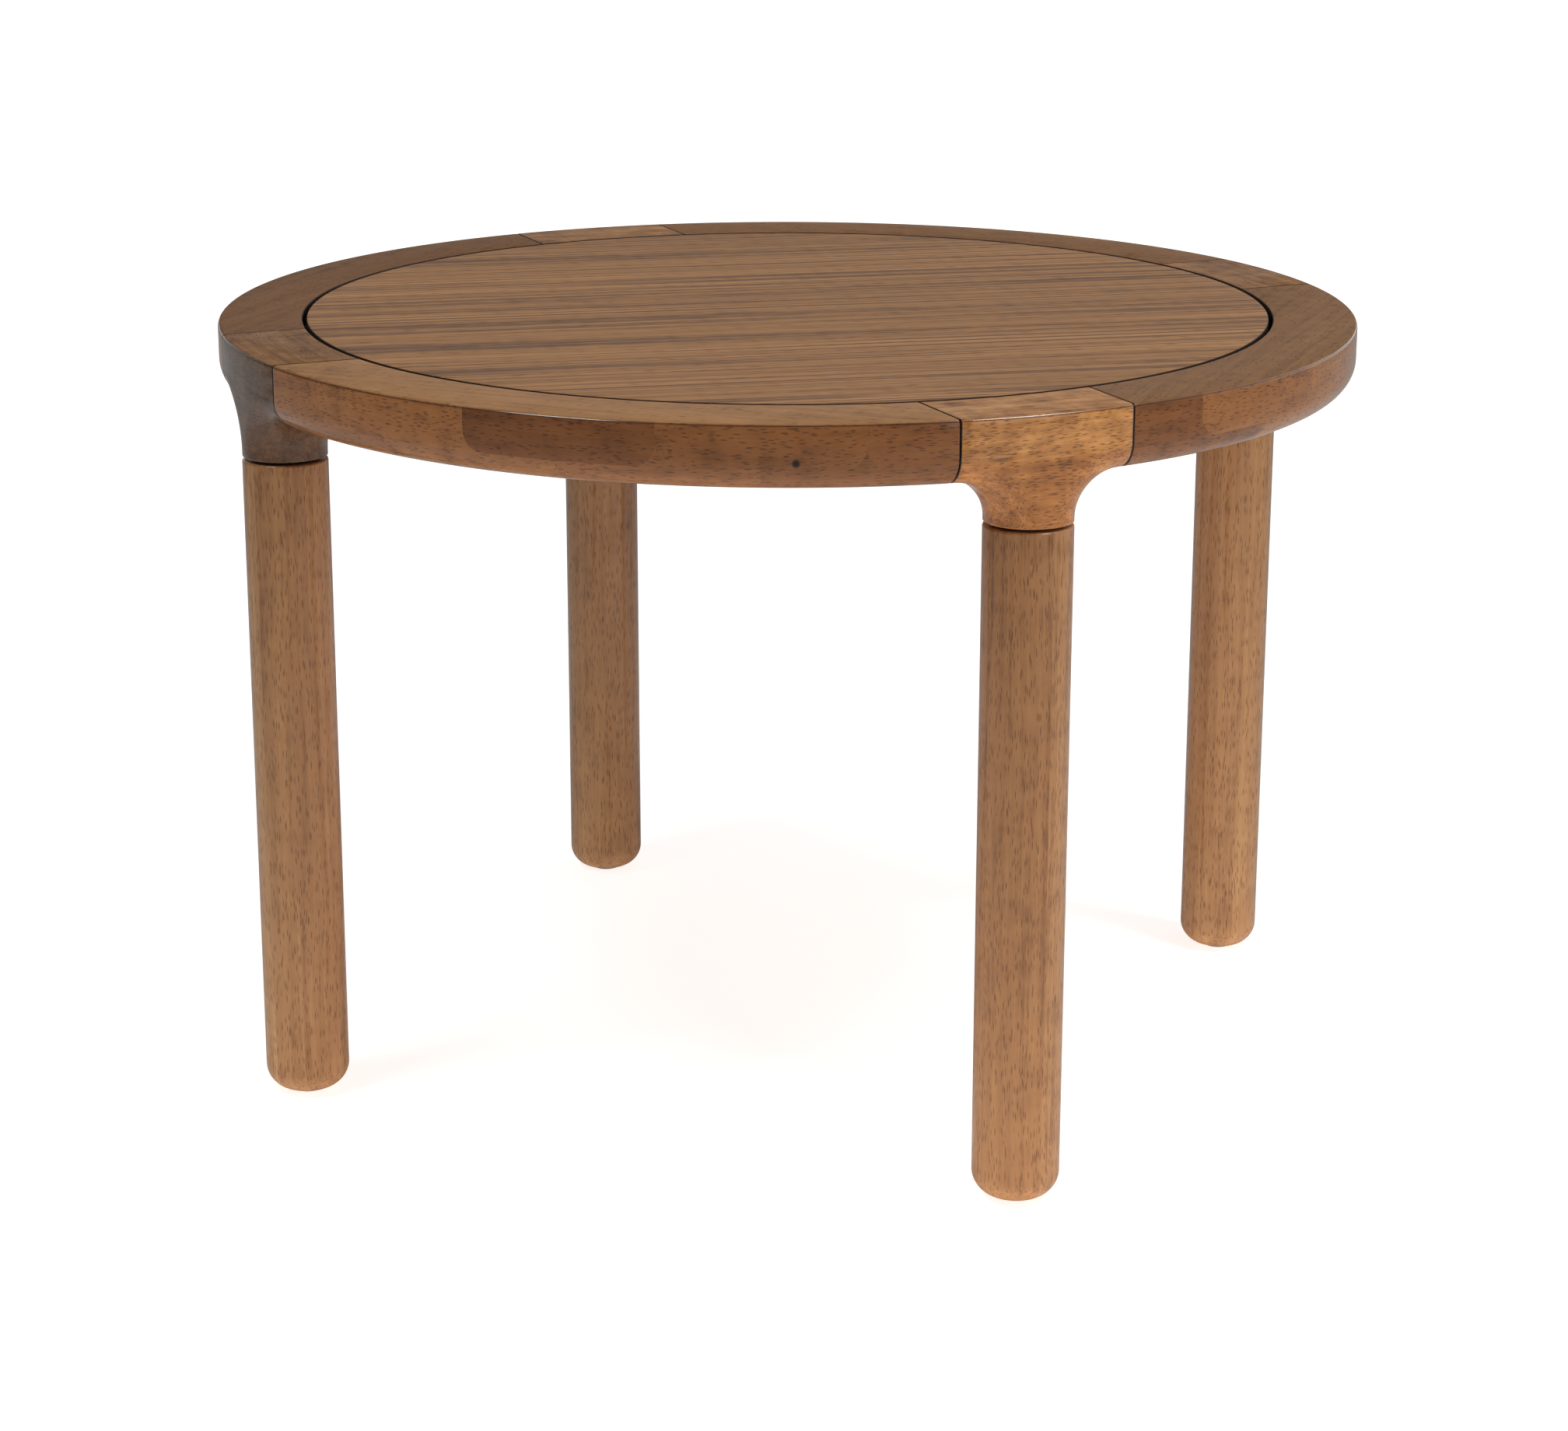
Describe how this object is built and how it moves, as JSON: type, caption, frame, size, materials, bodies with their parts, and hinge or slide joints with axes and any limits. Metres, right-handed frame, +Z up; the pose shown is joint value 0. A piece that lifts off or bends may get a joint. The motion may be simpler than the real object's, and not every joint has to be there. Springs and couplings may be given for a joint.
{
  "type": "low table",
  "caption": "Low round wooden table with a veneered panel set in a solid ring, blocks that narrow to round necks and straight turned legs that screw out.",
  "frame": {"origin": "on the floor under the middle of the table", "axes": "+Z up; the legs stand at 45 degrees between the axes; -Y is the side nearest to the picture's viewer, turned about 20 degrees"},
  "size_m": [0.7, 0.7, 0.465],
  "materials": {
    "panel_veneer": "satin lacquer over walnut-toned veneer",
    "ring_wood": "satin lacquer over solid wood",
    "block_wood": "satin lacquer over solid wood",
    "leg_wood": "satin lacquer over solid wood",
    "dowel_wood": "plain beech",
    "bolt_steel": "zinc plated",
    "screw_steel": "zinc plated",
    "insert_brass": "plain",
    "washer_rubber": "matte black",
    "glide_plastic": "matte dark"
  },
  "bodies": {
    "table_top": {"top_panel": "panel_veneer", "ring_segment_front": "ring_wood", "ring_segment_right": "ring_wood", "ring_segment_back": "ring_wood", "ring_segment_left": "ring_wood", "leg_block_front_left": "block_wood", "leg_block_front_right": "block_wood", "leg_block_back_right": "block_wood", "leg_block_back_left": "block_wood", "threaded_insert_front_left": "insert_brass", "threaded_insert_front_right": "insert_brass", "threaded_insert_back_right": "insert_brass", "threaded_insert_back_left": "insert_brass", "ring_dowels": "dowel_wood", "panel_screws": "screw_steel"},
    "front_left_washer": {"leg_washer_front_left": "washer_rubber"},
    "front_left_leg": {"leg_front_left": "leg_wood", "hanger_bolt_front_left": "bolt_steel", "foot_glide_front_left": "glide_plastic"},
    "front_right_washer": {"leg_washer_front_right": "washer_rubber"},
    "front_right_leg": {"leg_front_right": "leg_wood", "hanger_bolt_front_right": "bolt_steel", "foot_glide_front_right": "glide_plastic"},
    "back_right_washer": {"leg_washer_back_right": "washer_rubber"},
    "back_right_leg": {"leg_back_right": "leg_wood", "hanger_bolt_back_right": "bolt_steel", "foot_glide_back_right": "glide_plastic"},
    "back_left_washer": {"leg_washer_back_left": "washer_rubber"},
    "back_left_leg": {"leg_back_left": "leg_wood", "hanger_bolt_back_left": "bolt_steel", "foot_glide_back_left": "glide_plastic"}
  },
  "joints": [
    {"name": "front_left_travel", "type": "slide", "parent": "table_top", "child": "front_left_washer", "axis": [0, 0, -1], "range_m": [0, 0.02]},
    {"name": "front_left_turn", "type": "hinge", "parent": "front_left_washer", "child": "front_left_leg", "pos_m": [-0.22981, -0.22981, 0.4], "axis": [0, 0, -1], "range_deg": [0, 5760]},
    {"name": "front_right_travel", "type": "slide", "parent": "table_top", "child": "front_right_washer", "axis": [0, 0, -1], "range_m": [0, 0.02]},
    {"name": "front_right_turn", "type": "hinge", "parent": "front_right_washer", "child": "front_right_leg", "pos_m": [0.22981, -0.22981, 0.4], "axis": [0, 0, -1], "range_deg": [0, 5760]},
    {"name": "back_right_travel", "type": "slide", "parent": "table_top", "child": "back_right_washer", "axis": [0, 0, -1], "range_m": [0, 0.02]},
    {"name": "back_right_turn", "type": "hinge", "parent": "back_right_washer", "child": "back_right_leg", "pos_m": [0.22981, 0.22981, 0.4], "axis": [0, 0, -1], "range_deg": [0, 5760]},
    {"name": "back_left_travel", "type": "slide", "parent": "table_top", "child": "back_left_washer", "axis": [0, 0, -1], "range_m": [0, 0.02]},
    {"name": "back_left_turn", "type": "hinge", "parent": "back_left_washer", "child": "back_left_leg", "pos_m": [-0.22981, 0.22981, 0.4], "axis": [0, 0, -1], "range_deg": [0, 5760]}
  ],
  "couplings": [
    {"joint": "front_left_travel", "follows": "front_left_turn", "m_per_rad": 0.00019894},
    {"joint": "front_right_travel", "follows": "front_right_turn", "m_per_rad": 0.00019894},
    {"joint": "back_right_travel", "follows": "back_right_turn", "m_per_rad": 0.00019894},
    {"joint": "back_left_travel", "follows": "back_left_turn", "m_per_rad": 0.00019894}
  ]
}
